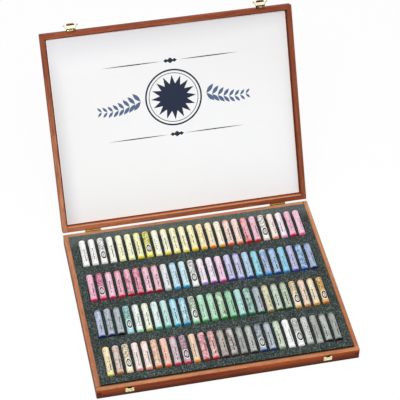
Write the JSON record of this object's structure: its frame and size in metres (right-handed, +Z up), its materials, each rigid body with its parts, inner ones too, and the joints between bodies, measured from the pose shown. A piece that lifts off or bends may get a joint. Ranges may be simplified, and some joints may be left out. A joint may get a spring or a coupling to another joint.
{
  "type": "soft pastel storage case",
  "caption": "Flat wooden case with a hinged, padded lid, two brass clasps and slotted foam that holds rows of round soft pastels.",
  "frame": {"origin": "centre of the case's underside, on the surface it stands on", "axes": "+X to the right along the front, +Y from the front towards the hinges, +Z up"},
  "size_m": [0.46, 0.5703, 0.3525],
  "materials": {
    "case_wood": "satin",
    "plywood": "satin",
    "tray_foam": "matte",
    "pad_foam": "matte",
    "cover_card": "satin",
    "soft_pastel": "matte",
    "brass_fittings": "polished"
  },
  "bodies": {
    "base": {"base_front_rail": "case_wood", "base_rear_rail": "case_wood", "base_left_rail": "case_wood", "base_right_rail": "case_wood", "base_panel": "plywood", "foam_underlay": "tray_foam", "foam_insert": "tray_foam", "hinge_base_leaf_left": "brass_fittings", "hinge_base_leaf_right": "brass_fittings", "hinge_pin_left": "brass_fittings", "hinge_pin_right": "brass_fittings", "hinge_base_screws": "brass_fittings", "catch_plate_left": "brass_fittings", "catch_plate_right": "brass_fittings", "catch_nails": "brass_fittings"},
    "lid": {"lid_front_rail": "case_wood", "lid_rear_rail": "case_wood", "lid_left_rail": "case_wood", "lid_right_rail": "case_wood", "lid_panel": "plywood", "lid_pad": "pad_foam", "lid_cover_sheet": "cover_card", "hinge_lid_leaf_left": "brass_fittings", "hinge_lid_leaf_right": "brass_fittings", "hinge_lid_screws": "brass_fittings", "clasp_plate_left": "brass_fittings", "clasp_plate_right": "brass_fittings", "clasp_pin_left": "brass_fittings", "clasp_pin_right": "brass_fittings", "clasp_nails": "brass_fittings"},
    "pastels_row_1": {"pastels_row_1": "soft_pastel"},
    "pastels_row_2": {"pastels_row_2": "soft_pastel"},
    "pastels_row_3": {"pastels_row_3": "soft_pastel"},
    "pastels_row_4": {"pastels_row_4": "soft_pastel"},
    "clasp_flap_left": {"clasp_flap_left": "brass_fittings"},
    "clasp_flap_right": {"clasp_flap_right": "brass_fittings"}
  },
  "joints": [
    {"name": "lid_hinge", "type": "hinge", "parent": "base", "child": "lid", "pos_m": [0, 0.1856, 0.02215], "axis": [1, 0, 0], "range_deg": [0, 120]},
    {"name": "clasp_left", "type": "hinge", "parent": "lid", "child": "clasp_flap_left", "pos_m": [-0.173, 0.37276, 0.34272], "axis": [1, 0, 0], "range_deg": [0, 95]},
    {"name": "clasp_right", "type": "hinge", "parent": "lid", "child": "clasp_flap_right", "pos_m": [0.173, 0.37276, 0.34272], "axis": [1, 0, 0], "range_deg": [0, 95]},
    {"name": "row_1_lift", "type": "slide", "parent": "base", "child": "pastels_row_1", "axis": [0, 0, -1], "range_m": [-0.06, 0]},
    {"name": "row_2_lift", "type": "slide", "parent": "base", "child": "pastels_row_2", "axis": [0, 0, -1], "range_m": [-0.06, 0]},
    {"name": "row_3_lift", "type": "slide", "parent": "base", "child": "pastels_row_3", "axis": [0, 0, -1], "range_m": [-0.06, 0]},
    {"name": "row_4_lift", "type": "slide", "parent": "base", "child": "pastels_row_4", "axis": [0, 0, -1], "range_m": [-0.06, 0]}
  ]
}
